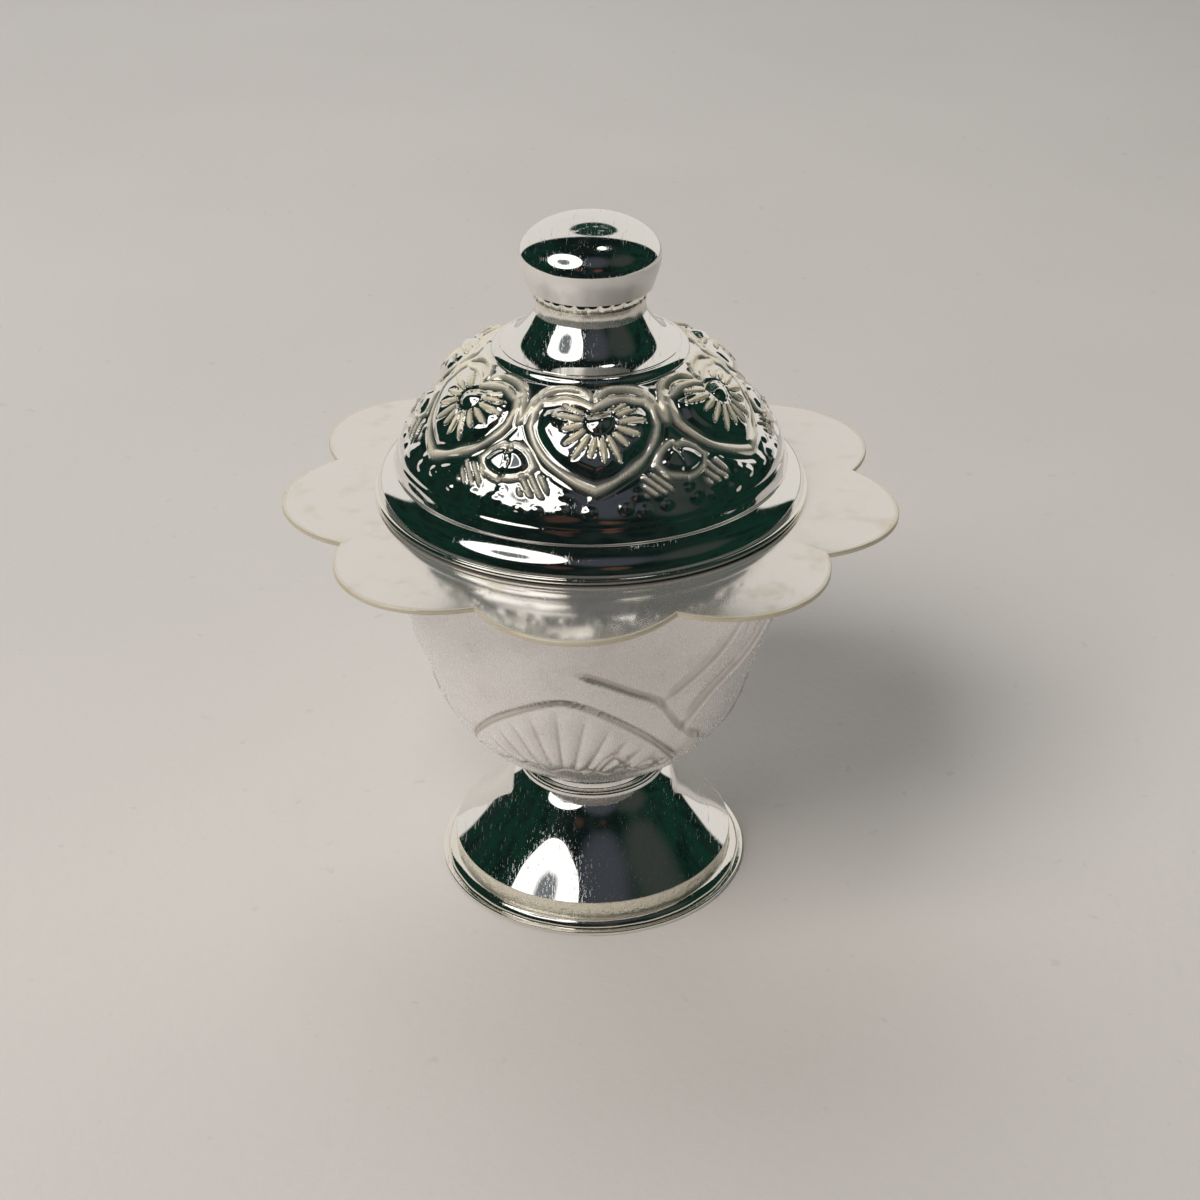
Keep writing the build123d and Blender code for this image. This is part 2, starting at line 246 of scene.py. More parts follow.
# %% [markdown]
# Ornament is drawn on the unrolled sheet, where x is the distance round the piece in millimetres and
# y is the distance along its outline. A raised line, an edge or a pillow is then only a rule about
# the distance to a drawn line. Sculpting by hand would work too, but a rule repeats evenly.

# %% Drawing tools for the relief
FAR = 1e9


def distance_to(x, y, line):
    """Distance from each point to a line of points, and the side of it: plus on its left."""
    best = np.full(x.shape, FAR)
    side = np.zeros(x.shape)
    for (ax, ay), (bx, by) in zip(line[:-1], line[1:]):
        ux, uy = bx - ax, by - ay
        t = np.clip(((x - ax) * ux + (y - ay) * uy) / max(ux * ux + uy * uy, TINY), 0, 1)
        dx, dy = x - ax - t * ux, y - ay - t * uy
        d = np.hypot(dx, dy)
        nearer = d < best
        best = np.where(nearer, d, best)
        side = np.where(nearer, np.sign(ux * dy - uy * dx), side)
    return best, side


def closed(line):
    """The same line with its first point repeated at its end."""
    return np.vstack([line, line[:1]])


def inside(x, y, line):
    """True where a point lies within the shape that a line of points encloses."""
    odd = np.zeros(x.shape, bool)
    for (ax, ay), (bx, by) in zip(line, np.roll(line, -1, axis=0)):
        if ay != by:
            odd ^= ((ay > y) != (by > y)) & (x < (bx - ax) * (y - ay) / (by - ay) + ax)
    return odd


def ridge(distance, height, width):
    """A rounded ridge along the places where distance is 0."""
    return height * np.exp(-(distance / width) ** 2)


def ease(value, low, high):
    """0 below low, 1 above high, and a smooth slope between."""
    t = np.clip((value - low) / (high - low), 0, 1)
    return t * t * (3 - 2 * t)


print("one width away, a ridge keeps", round(float(ridge(1.0, 1.0, 1.0)), 2), "of its height")

# %% [markdown]
# The lid is sheet silver, embossed with six flowers. Each flower is a heart, of which only the right
# half is drawn, as (degrees round, millimetres up the dome). Buds and scrolls fill the ground between
# the hearts. Every flower is a little off its place, as hand work is. The random numbers for that
# start from a fixed seed, so that each run makes the same lid.

# %% Lines of the lid's ornament
DOME = [(18.95, 46.15), (18.7, 47.0), (18.2, 48.2), (17.0, 50.0), (15.3, 52.0), (13.6, 54.0),
        (11.5, 55.8), (9.5, 57.0)]
FLOWERS = 6
FLOWER_STEP = 360 / FLOWERS
FLOWER_SLIP = (0.9, 0.18)
BUMPS = 80
rng = np.random.default_rng(7)
flower_slip = rng.uniform(-1.0, 1.0, (FLOWERS, 2)) * FLOWER_SLIP
bump_slip = rng.uniform(-1.0, 1.0, (BUMPS, 4))
dome_rows = smooth(DOME, 108)
dome_run = run_along(dome_rows)


def on_dome(points, count):
    """Drawn (degrees, up) points as a smooth line in millimetres on the unrolled dome."""
    line = smooth(points, count)
    radius = np.interp(line[:, 1], dome_run, dome_rows[:, 0])
    return np.column_stack([np.radians(line[:, 0]) * radius, line[:, 1]])


def both_halves(half, count):
    """A whole shape from its right half and the mirror image of that half."""
    right = on_dome(half, count)
    return np.vstack([right, (right[::-1] * (-1, 1))[1:-1]])


heart = both_halves([(0, 4.7), (5, 5.3), (11, 6.2), (17, 7.3), (21.5, 8.5), (25, 9.8), (26.4, 10.9),
                     (25.6, 11.95), (22, 12.7), (16, 13.15), (9, 13.2), (3, 12.8), (0, 12.4)], 26)
bud = both_halves([(0, 5.0), (5, 5.3), (9.5, 6.5), (6, 7.8), (0, 8.2)], 9)
scroll = on_dome([(30, 10.6), (28.8, 12.0), (25.5, 13.4), (20, 14.2), (12, 14.4), (5, 14.1),
                  (1.5, 13.5)], 12)
print("dome outline runs", round(float(dome_run[-1]), 2), "mm")
print("a heart is", round(float(np.ptp(heart[:, 0])), 1), "mm wide")

# %% [markdown]
# The heart is a soft pillow with a dull, cream rim like a wire. A boss sits near its top, and
# leaf-shaped marks fan out from the boss. Each mark is long and narrow, so its distance is measured
# along and across its own direction.

# %% Flower relief
PILLOW_HEIGHT, PILLOW_SLOPE = 0.6, 2.0
RIM_HEIGHT, RIM_WIDTH, RIM_WAVE = 0.24, 0.32, 0.07
RIM_TONE, RIM_TONE_WAVE = 0.82, 0.15
GUTTER_OFF, GUTTER_DEPTH, GUTTER_WIDTH = 0.8, 0.1, 0.3
BOSS_X, BOSS_Y, BOSS_HEIGHT, BOSS_WIDTH = 0.5, 10.9, 0.34, 0.78
MOAT_RADIUS, MOAT_DEPTH, MOAT_WIDTH = 1.2, 0.13, 0.24
LEAVES, FIRST_LEAF, LEAF_STEP = 13, -208, 20.5
LEAF_START, LEAF_LENGTH, LEAF_UNEVEN, LEAF_HALF_WIDTH = 1.5, 2.35, 0.45, 0.29
LEAF_HEIGHT, LEAF_EDGE_DEPTH, LEAF_EDGE_WIDTH = 0.2, 0.08, 0.12


def heart_marks(x, y, azimuth):
    """The pillow and its rim. Gives height, tone, the distance to the rim and what lies within."""
    to_rim, _ = distance_to(x, y, closed(heart))
    within = inside(x, y, heart)
    width = RIM_WIDTH + RIM_WAVE * np.sin(azimuth * 0.31 + y * 1.3)
    height = np.where(within, PILLOW_HEIGHT * ease(to_rim, 0.0, PILLOW_SLOPE), 0)
    height += ridge(to_rim, RIM_HEIGHT, width)
    height -= ridge(to_rim - GUTTER_OFF, GUTTER_DEPTH, GUTTER_WIDTH) * np.where(within, 0.7, 1.0)
    worn = RIM_TONE + RIM_TONE_WAVE * np.sin(azimuth * 0.23 - y * 0.9)
    return height, worn * ridge(to_rim, 1.0, width * 0.95), to_rim, within


def leaf_mark(x, y, number):
    """One leaf: how full it is, from 0 to 1, and the fine line pressed round it."""
    angle = math.radians(FIRST_LEAF + number * LEAF_STEP)
    ux, uy = math.cos(angle), math.sin(angle)
    length = LEAF_LENGTH + LEAF_UNEVEN * math.sin(number * 2.1)
    lengthwise = ((x - BOSS_X) * ux + (y - BOSS_Y) * uy - LEAF_START) / length
    sideways = (y - BOSS_Y) * ux - (x - BOSS_X) * uy
    half_width = LEAF_HALF_WIDTH * np.sqrt(np.clip(lengthwise * (1 - lengthwise) * 4, 0, None))
    full = np.clip(1 - (sideways / np.maximum(half_width, 1e-3)) ** 2, 0, 1)
    leaf = np.where((lengthwise > 0) & (lengthwise < 1) & (half_width > 0.02), full, 0)
    beside = (lengthwise > -0.03) & (lengthwise < 1.05)
    edge = np.where(beside, ridge(np.abs(sideways) - half_width, 1.0, LEAF_EDGE_WIDTH), 0)
    return leaf, edge


def fan_of_leaves(x, y, to_rim, within):
    """Height and tone of the boss, the moat round it and the leaves."""
    from_boss = np.hypot(x - BOSS_X, y - BOSS_Y)
    height = ridge(from_boss, BOSS_HEIGHT, BOSS_WIDTH)
    height -= ridge(from_boss - MOAT_RADIUS, MOAT_DEPTH, MOAT_WIDTH)
    tone = np.zeros_like(x)
    clear_of_rim = np.where(within, ease(to_rim, 0.4, 0.8), 0)
    for number in range(LEAVES):
        leaf, edge = leaf_mark(x, y, number)
        height += clear_of_rim * (LEAF_HEIGHT * leaf ** 0.7 - LEAF_EDGE_DEPTH * edge)
        tone = np.maximum(tone, clear_of_rim * leaf ** 0.5)
    return height, tone


print("each of", FLOWERS, "flowers has", LEAVES, "leaf marks, up to", LEAF_LENGTH + LEAF_UNEVEN, "mm long")

# %% [markdown]
# A bud stands halfway between two flowers, a scroll curls over each heart, and short slanting strokes
# flank the buds. Two rows of small bumps run round the lid below the flowers' points. No two bumps
# are alike on the real lid, so each takes its own place and size from the random numbers.

# %% Relief between the flowers
BUD_HEIGHT, BUD_SLOPE = 0.46, 1.0
BUD_RIM_HEIGHT, BUD_RIM_WIDTH, BUD_TONE = 0.22, 0.26, 0.6
VEIN_BEND, VEIN_DEPTH, VEIN_WIDTH = 0.15, 0.16, 0.16
SCROLL_HEIGHT, SCROLL_WIDTH, SCROLL_TONE, SCROLL_TONE_WIDTH = 0.3, 0.34, 0.75, 0.32
STROKE_LOW, STROKE_SPACING, STROKE_HEIGHT, STROKE_TONE = 3.6, 0.85, 0.22, 0.8
BUMP_ROWS = ((46, 3.0, 1.0, 0.17), (35, 4.1, 0.9, 0.12))


def bud_marks(x, y, outside):
    """A bud with a rim and one wavy vein. Here x is measured from the middle of the gap."""
    to_rim, _ = distance_to(x, y, closed(bud))
    within = inside(x, y, bud)
    vein = ridge(x - VEIN_BEND * np.sin(y * 2.2), VEIN_DEPTH, VEIN_WIDTH)
    height = np.where(within, BUD_HEIGHT * ease(to_rim, 0, BUD_SLOPE), 0)
    height += ridge(to_rim, BUD_RIM_HEIGHT, BUD_RIM_WIDTH) * outside
    height -= np.where(within, vein, 0)
    return height, ridge(to_rim, BUD_TONE, BUD_RIM_WIDTH)


def scroll_marks(x, y, outside):
    """A scroll on both sides of the heart."""
    away, _ = distance_to(np.abs(x), y, scroll)
    return (ridge(away, SCROLL_HEIGHT, SCROLL_WIDTH) * outside,
            ridge(away, SCROLL_TONE, SCROLL_TONE_WIDTH) * outside)


def stroke_marks(degrees, x, y, outside):
    """Slanting strokes on both sides of a bud."""
    level = ease(y, STROKE_LOW, 4.0) * ease(-y, -6.0, -5.6)
    beside = ease(np.abs(degrees), 14, 16) * ease(-np.abs(degrees), -25, -23)
    across = np.abs(((x * 0.9 + (y - STROKE_LOW) * 0.75) / STROKE_SPACING) % 1 - 0.5)
    mark = level * beside * outside * ease(-across, -0.36, -0.1)
    return STROKE_HEIGHT * mark, STROKE_TONE * mark


def bump_marks(azimuth, up, radius):
    """Height of both rows of bumps. A row gives its number, its level, and a bump's size and height."""
    total = np.zeros_like(up)
    for count, level, size, height in BUMP_ROWS:
        cell = azimuth / 360 * count
        seat = np.floor(cell).astype(int) % count
        off_middle = cell - np.floor(cell) - 0.5 - bump_slip[seat, 0] * 0.2
        across = off_middle * 360 / count * np.radians(1) * radius
        above = (up - level - bump_slip[seat, 1] * 0.3) * 1.25
        away = np.hypot(across, above) / (size * (0.8 + 0.25 * bump_slip[seat, 2]))
        total += height * np.cos(np.clip(away, 0, 1) * math.pi / 2) ** 1.5
    return total


print("bumps round the lid:", sum(row[0] for row in BUMP_ROWS))

# %% [markdown]
# Now the lid itself. Its outline runs up a short skirt and a rolled band, dips into a groove and
# climbs the dome to a small flat top, and then comes back down inside. All marks are added up, and
# none of them reaches the groove. A faint wave over the whole dome stands for the hammer's dents.

# %% Embossed lid
BAND = [(20.6, 43.9), (20.3, 44.7), (19.7, 45.35), (18.95, 45.85)]
LID_WALL, LID_LOW, LID_INSIDE_RADIUS = 0.5, 43.05, 20.1
FLAT_TOP, FLAT_TOP_RADIUS = 57.0, 8.9
FLOWER_TURN = 4.5
CUT_LINE_UP, CUT_LINE_DEPTH, CUT_LINE_WIDTH = 1.45, 0.05, 0.18
DENT_DEPTH = 0.05
skirt = [(20.6, LID_LOW), (20.6, 43.3), (20.6, 43.6), (20.6, 43.8)]
lid_foot = rows(skirt, smooth(BAND, 18), [(18.93, 45.93), (18.93, 46.07)], dome_rows[:1])
dome_start = run_along(lid_foot)[-1]


def lid_shape(azimuth, along, radius):
    """Height and tone all over the outside of the lid."""
    up = along - dome_start
    turned_by = azimuth - FLOWER_TURN
    nearest = np.round(turned_by / FLOWER_STEP)
    which = nearest.astype(int) % FLOWERS
    degrees = turned_by - nearest * FLOWER_STEP - flower_slip[which, 0]
    x, y = np.radians(degrees) * radius, up - flower_slip[which, 1]
    height, tone, to_rim, within = heart_marks(x, y, azimuth)
    outside = np.where(within, 0, 1)
    gap = (np.abs(degrees) - FLOWER_STEP / 2) * np.radians(1) * radius
    gap = np.where(degrees > 0, gap, -gap)
    for more, dull in (fan_of_leaves(x, y, to_rim, within), bud_marks(gap, y, outside),
                       scroll_marks(x, y, outside), stroke_marks(degrees, gap, y, outside)):
        height += more
        tone = np.maximum(tone, dull)
    height += bump_marks(azimuth, up, radius) * outside
    dents = DENT_DEPTH * np.sin(azimuth * 0.21 + up * 1.7) * np.sin(azimuth * 0.13 - up * 0.9)
    above_groove = ease(up, 0.4, 1.0)
    height = (height + dents) * above_groove - ridge(up - CUT_LINE_UP, CUT_LINE_DEPTH, CUT_LINE_WIDTH)
    return height, tone * above_groove


lid_outer = rows(lid_foot, dome_rows, [(FLAT_TOP_RADIUS, FLAT_TOP)])
lid_inner = rows([(0, FLAT_TOP), (0, FLAT_TOP - LID_WALL), (FLAT_TOP_RADIUS, FLAT_TOP - LID_WALL)],
                 inset(smooth(DOME, 12), LID_WALL)[-2::-1], inset(smooth(BAND, 6), LID_WALL)[::-1],
                 [(LID_INSIDE_RADIUS, LID_LOW)])
turned("embossed_lid", rows(lid_outer, lid_inner), 640, "lid", ["lid_dome"], "lid",
       relief=lid_shape, relief_rows=len(lid_outer) - 1)

# %% [markdown]
# The bowl is embossed more softly: three fans rise from the stem, with flutes and a scalloped lower
# edge, and long leaves overlap above them and sweep up to the right. Their lines are drawn as
# (degrees round, millimetres along), and unrolled at one radius, because the bowl is nearly upright
# where they run.

# %% Lines of the bowl's ornament
BOWL = [(7.1, 12.95), (9.9, 14.5), (13.0, 17.3), (14.7, 20.0), (16.2, 24.0), (17.6, 28.5),
        (18.8, 33.0), (19.7, 37.5), (20.3, 42.45)]
UNROLLED_RADIUS = 16.0
bowl_rows = smooth(BOWL, 150)


def on_bowl(points, count):
    """Drawn (degrees, up) points as a smooth line in millimetres on the unrolled bowl."""
    line = smooth(points, count)
    return np.column_stack([np.radians(line[:, 0]) * UNROLLED_RADIUS, line[:, 1]])


fan_edge = on_bowl([(-47, 8.0), (-38, 11.0), (-21.4, 15.6), (-8.5, 18.4), (1.7, 19.5), (10.9, 18.6),
                    (18.9, 16.9), (28, 14.6), (37.3, 11.7), (47, 8.4)], 26)
leaf_edge = on_bowl([(-4, 24.0), (4, 23.6), (13.2, 22.4), (26.2, 20.0), (33.3, 18.4), (38, 16.2),
                     (43.6, 14.1), (52, 12.2)], 20)
first_sweep = on_bowl([(34.2, 18.6), (39.3, 20.0), (45.4, 21.9), (51.2, 24.2), (56, 26.8),
                       (62, 30.2)], 16)
second_sweep = on_bowl([(43.0, 14.3), (48.9, 17.0), (56, 19.4), (63.3, 21.6), (70, 25.0),
                        (77, 29.5)], 16)
curls = [on_bowl([(8, 8.4), (13, 9.6), (17, 11.6), (21, 12.0), (24, 10.6)], 10),
         on_bowl([(18, 8.6), (24, 9.2), (29, 10.9), (33, 11.2), (37, 10.0)], 10),
         on_bowl([(30, 8.8), (36, 8.6), (42, 9.4)], 6)]
print("bowl outline runs", round(float(run_along(bowl_rows)[-1]), 2), "mm")

# %% [markdown]
# A fan is a low plateau with flutes that spread from one point below it, a scalloped foot and a
# raised outer line. Small curls lie over its foot. Where a leaf overlaps another, the sheet makes a
# step: high on one side of a line, and falling away slowly from there.

# %% Relief of the bowl
FANS = 3
FAN_STEP = 360 / FANS
FAN_HALF, FAN_FADE, FAN_TOP = 47, 6, 20.2
FAN_HEIGHT, FAN_LINE_HEIGHT, FAN_LINE_WIDTH = 0.22, 0.18, 0.2
FLUTE_STEP, FLUTE_START, FLUTE_HEIGHT = 9.5, 2.5, 0.26
SCALLOP_UP, SCALLOP_STEP, SCALLOP_HEIGHT, SCALLOP_UNEVEN = 8.7, 11.5, 0.9, 0.35
FOOT_LINE_DEPTH, FOOT_LINE_WIDTH = 0.22, 0.26
CURL_HEIGHT, CURL_WIDTH, CURL_TONE, CURL_TONE_WIDTH = 0.16, 0.22, 0.6, 0.18
LEAF_RISE, LEAF_FALL, LEAF_CRISP, LEAF_TONE = 0.32, 2.4, 0.3, 0.5
SWEEPS = ((first_sweep, 0.32), (second_sweep, 0.36))
SWEEP_FALL, SWEEP_CRISP, SWEEP_TONE = 2.6, 0.5, 0.4


def fan_marks(degrees, x, up):
    """Height and tone of one fan, and what lies within it."""
    away, side = distance_to(x, up, fan_edge)
    in_fan = (side < 0) & (np.abs(degrees) < FAN_HALF) & (up < FAN_TOP)
    flute = np.abs(((np.degrees(np.arctan2(x, up - FLUTE_START)) / FLUTE_STEP) % 1) - 0.5) * 2
    scallop = np.abs(np.cos(np.radians(degrees / SCALLOP_STEP * 180)))
    foot = SCALLOP_UP + SCALLOP_HEIGHT * scallop + SCALLOP_UNEVEN * np.sin(np.radians(degrees * 17))
    flutes = FLUTE_HEIGHT * (1 - flute ** 2) * ease(up, 8, 11) * ease(away, 0.2, 2.0)
    body = np.where(in_fan, ease(up, foot - 0.3, foot + 0.5), 0)
    foot_line = np.where(in_fan, ridge(up - foot + 0.2, 1.0, FOOT_LINE_WIDTH), 0)
    drawn = ease(up, 7.5, 9) * ease(-np.abs(degrees), -FAN_HALF, FAN_FADE - FAN_HALF)
    line = ridge(away, FAN_LINE_HEIGHT, FAN_LINE_WIDTH)
    line -= np.where(side >= 0, ridge(away - 0.32, 0.2, 0.22), 0)
    height = body * (FAN_HEIGHT * ease(away, 0.0, 0.5) + flutes) - FOOT_LINE_DEPTH * foot_line
    tone = np.maximum(0.8 * foot_line, ridge(away, 0.75, 0.13) * drawn)
    return height + line * drawn, tone, in_fan


def step_edge(x, y, line, rise, fall, crisp):
    """A sheet edge along a line: raised on its right side and falling slowly away from it."""
    away, side = distance_to(x, y, line)
    high = np.where(side < 0, np.exp(-away / fall), 0) * ease(away, -0.1, crisp)
    low = np.where(side >= 0, ridge(away - crisp, 1.0, crisp), 0)
    return rise * (high + ridge(away, 0.35, crisp) - 0.4 * low), ridge(away, 1.0, 0.15)


def leaf_steps(x, up, in_fan):
    """Height and tone of the leaf edge over one fan and of the two long sweeps beside it."""
    lip, mark = step_edge(x, up, leaf_edge, LEAF_RISE, LEAF_FALL, LEAF_CRISP)
    seen = np.where(in_fan, 0, 1) * ease(x, 1.0, 3.0)
    height, tone = lip * seen, LEAF_TONE * mark * seen
    for line, rise in SWEEPS:
        lip, mark = step_edge(x, up, line, rise, SWEEP_FALL, SWEEP_CRISP)
        seen = ease(-up, -31, -23) * ease(x - line[0, 0], -0.1, 1.0)
        height += lip * seen
        tone = np.maximum(tone, SWEEP_TONE * mark * seen)
    return height, tone


print(FANS, "fans,", len(curls), "curls and", len(SWEEPS), "sweeps on each")

# %% [markdown]
# The bowl adds these marks up three times round. Soft swellings above the fans stand for the backs
# of the leaves. The relief fades out at the stem and at the rim, where the sheet has to stay round
# for its neighbours. The outline comes back along the wall's inside, so the bowl is hollow. Nothing
# is embossed there, so every eighth row is enough.

# %% Embossed bowl
BOWL_WALL, BOWL_LOW, BOWL_TOP = 0.55, 12.95, 42.45
FAN_TURN = -8.0
FLAT_RADII = (3.5, 7.1)
SWELL, SMALL_SWELL = 0.3, 0.12
BOTTOM_ROWS = 2
BOWL_INSIDE_EVERY = 8


def bowl_shape(azimuth, along, radius):
    """Height and tone all over the outside of the bowl. The flat bottom comes first along it."""
    up = along - FLAT_RADII[1]
    degrees = (azimuth - FAN_TURN + FAN_STEP / 2) % FAN_STEP - FAN_STEP / 2
    x = np.radians(degrees) * UNROLLED_RADIUS
    height, tone, in_fan = fan_marks(degrees, x, up)
    for line in curls:
        away, _ = distance_to(x, up, line)
        height += ridge(away, CURL_HEIGHT, CURL_WIDTH) - ridge(away - 0.4, 0.08, 0.2)
        tone = np.maximum(tone, ridge(away, CURL_TONE, CURL_TONE_WIDTH))
    for neighbour in (-FAN_STEP, 0, FAN_STEP):
        more, dull = leaf_steps(x - np.radians(neighbour) * UNROLLED_RADIUS, up, in_fan)
        height += more
        tone = np.maximum(tone, dull)
    swell = SWELL * np.sin(np.radians(degrees * 3 + up * 9)) * ease(up, 14, 20)
    swell += SMALL_SWELL * np.sin(np.radians(degrees * 7 - up * 14) + 1.0) * ease(up, 18, 24)
    height += swell * ease(-up, -32, -26)
    shown = ease(up, 1.0, 3.0) * ease(-up, -33.4, -32.0)
    return height * shown, tone * shown


bowl_inside = inset(bowl_rows[::BOWL_INSIDE_EVERY], BOWL_WALL)[::-1]
bowl_floor = [(radius, BOWL_LOW + BOWL_WALL) for radius in (*FLAT_RADII[::-1], 0)]
bowl_outline = rows([(0, BOWL_LOW), (FLAT_RADII[0], BOWL_LOW)], bowl_rows, [(19.75, BOWL_TOP)],
                    bowl_inside[1:-1], bowl_floor)
turned("embossed_bowl", bowl_outline, 544, "base", ["bowl_shell"], "satin_bowl",
       relief=bowl_shape, relief_rows=BOTTOM_ROWS + len(bowl_rows))

# %% [markdown]
# The flange is a plate of sheet silver, sawn into nine petals. It starts as a turned washer and is
# then stretched: each vertex moves by how far the nine-petal edge lies beyond or inside a circle.
# A Boolean could cut the petals out, but its cut edge has uneven faces, which polished metal shows.
# The steps of the spin fall exactly on the notches, so these stay sharp.

# %% Shape of the petals
PETALS = 9
PETAL_STEP = 360 / PETALS
CENTRE, HALF_LONG, HALF_WIDE = 16.35, 13.65, 11.0
BORE, TIP = 18.6, 30.0
SHORTER, BEND = 0.22, 0.12
petal_slip = rng.uniform(-1, 1, (PETALS, 2))


def petal_edge(degrees):
    """Radius of one petal's edge away from its middle: an ellipse seen from the axis."""
    c, s = np.cos(np.radians(degrees)), np.sin(np.radians(degrees))
    qa = (c / HALF_LONG) ** 2 + (s / HALF_WIDE) ** 2
    qb = -2 * c * CENTRE / HALF_LONG ** 2
    qc = (CENTRE / HALF_LONG) ** 2 - 1
    return (-qb + np.sqrt(qb * qb - 4 * qa * qc)) / (2 * qa)


def spread_petals(place, azimuth, radius):
    """Stretches a washer into petals, each a little shorter and a little bent, up or down."""
    nearest = np.round(azimuth / PETAL_STEP)
    degrees = azimuth - nearest * PETAL_STEP
    shorter, bend = petal_slip[nearest.astype(int) % PETALS].T
    middle = np.cos(np.radians(degrees * PETALS / 2)) ** 2
    edge = petal_edge(degrees) - SHORTER * (0.5 + 0.5 * shorter) * middle
    outward = (radius - BORE) / (TIP - BORE)
    place[:, :2] *= ((BORE + outward * (edge - BORE)) / radius)[:, None]
    place[:, 2] += BEND * bend * middle * np.clip(outward, 0, 1) ** 2
    return place


print("a notch lies", round(float(petal_edge(0) - petal_edge(PETAL_STEP / 2)), 2), "mm inside a tip")

# %% [markdown]
# The washer droops a little towards its tips. Its edge is cut sheet, so it carries no relief but a
# dull yellow tone, which is why this plain piece is given a relief function too.

# %% Petal flange
FLANGE_WALL, FLANGE_HIGH = 0.45, 42.9
DROOP, DROOP_START, DROOP_REACH, DROOP_POWER = 0.3, 21.2, 9.8, 1.15
ROUNDED_EDGE = 0.07
across = np.linspace(BORE, TIP - ROUNDED_EDGE, 26)


def flange_top(radius):
    """Height of the flange's upper side."""
    return FLANGE_HIGH - DROOP * np.clip((radius - DROOP_START) / DROOP_REACH, 0, None) ** DROOP_POWER


def cut_edge(azimuth, along, radius):
    """No relief, and a dull yellow tone where the sheet was cut."""
    return np.zeros_like(along), 0.85 * ease(radius, TIP - 0.28, TIP - 0.06)


top_rows = np.column_stack([across, flange_top(across)])
under_rows = np.column_stack([across, flange_top(across) - FLANGE_WALL])[::-2][::-1]
tip_high = flange_top(TIP) - ROUNDED_EDGE
tip_low = flange_top(TIP) - FLANGE_WALL + ROUNDED_EDGE
tip_rows = [(TIP, tip_low), (TIP, (tip_high + tip_low) / 2), (TIP, tip_high)]
flange_outline = rows(under_rows, tip_rows, top_rows[::-1])
turned("petal_plate", flange_outline, 576, "base", ["petal_flange"], "flange",
       relief=cut_edge, relief_rows=len(flange_outline), reshape=spread_petals)

# %% [markdown]
# The plain turned pieces follow. Their corners get a small round, because a real turned or soldered
# edge always catches a thin line of light. A Bevel modifier could do this, but rounding the outline
# costs nothing. A soldered ring is never quite true, so a slow wave bends it by a few hundredths.

# %% Rounded corners and uneven rings
CORNER_POINTS = 4


def rounded(points, size):
    """Replaces each corner of a closed outline by a short arc."""
    points = np.array(points, float)
    out = []
    for before, here, after in zip(np.roll(points, 1, axis=0), points, np.roll(points, -1, axis=0)):
        back, ahead = before - here, after - here
        cut = min(size, np.hypot(*back) * 0.4, np.hypot(*ahead) * 0.4)
        first, last = here + back / np.hypot(*back) * cut, here + ahead / np.hypot(*ahead) * cut
        for t in np.linspace(0, 1, CORNER_POINTS):
            out.append((1 - t) ** 2 * first + 2 * t * (1 - t) * here + t * t * last)
    return np.array(out)


def box_section(inner, outer, low, high, size):
    """The outline of a plain ring with rounded corners."""
    return rounded([(inner, low), (outer, low), (outer, high), (inner, high)], size)


def arc_of(middle, reach, turns, count):
    """Points on an arc. Its turns run from 0 at the top, through 90 at the outside, to 180."""
    return [(middle[0] + reach[0] * math.sin(t), middle[1] + reach[1] * math.cos(t))
            for t in np.linspace(math.radians(turns[0]), math.radians(turns[1]), count)]


def solder_wave(amount, waves):
    """Makes a soldered ring a little uneven round its length."""
    def reshape(place, azimuth, radius):
        wave = np.zeros(len(place))
        for j, count in enumerate(waves):
            wave += np.sin(np.radians(azimuth * count) + j * 1.9) / len(waves)
        place[:, :2] *= (1 + amount * (wave - 1) / np.maximum(radius, 1))[:, None]
        return place
    return reshape


print("a corner is rounded with", CORNER_POINTS, "points")

# %% [markdown]
# The foot is a spun, flaring cone with a flat plate, a bead wire and a short band soldered under it.
# A narrow step and a throat join it to the bowl. The collar stands in the mouth and centres the lid.
# Of the bead wire only the outer, upper quarter can be seen, so only that is drawn.

# %% Foot, stem and collar
CONE = [(14.4, 2.95), (13.3, 3.9), (12.0, 5.1), (10.5, 6.75), (9.2, 8.5), (8.2, 10.0), (7.4, 10.8)]
CONE_WALL, PLAIN_STEPS, FOOT_STEPS = 0.5, 256, 288
INSIDE_EVERY = 4
PLATE_TOP, BAND_TOP, CONE_TOP = 0.45, 2.95, 10.8
turned("foot_edge", box_section(13.5, 16.0, 0, PLATE_TOP, 0.16), FOOT_STEPS, "base",
       ["foot_edge_plate"], "foot_rim", reshape=solder_wave(0.03, (3, 7, 17)))
bead = arc_of((14.5, PLATE_TOP), (0.98, 0.86), (90, 0), 14)
turned("foot_bead", rows([(14.5, PLATE_TOP)], bead), FOOT_STEPS, "base",
       ["foot_bead_ring"], "foot_rim", reshape=solder_wave(0.05, (5, 11, 23)))
turned("foot_ledge", box_section(13.8, 14.5, PLATE_TOP, BAND_TOP, 0.1), FOOT_STEPS, "base",
       ["foot_ledge_band"], "solder_band", reshape=solder_wave(0.04, (4, 9, 31)))
cone_rows = smooth(CONE, 60)
cone_in = inset(cone_rows[::INSIDE_EVERY], CONE_WALL)[::-1]
cone_outline = rows(cone_rows, [(6.9, CONE_TOP)], cone_in[1:-1], [(13.9, BAND_TOP)])
turned("spun_foot", cone_outline, FOOT_STEPS, "base", ["foot_cone"], "polished")
step_round = arc_of((7.4, 11.15), (0.2, 0.35), (180, 0), 12)
throat = smooth([(6.7, 11.5), (6.6, 12.2), (7.1, BOWL_LOW)], 12)
stem_outline = rows([(5.9, CONE_TOP)], step_round, throat, [(5.9, BOWL_LOW)])
turned("stem_step", stem_outline, PLAIN_STEPS, "base", ["stem_ring"], "polished")
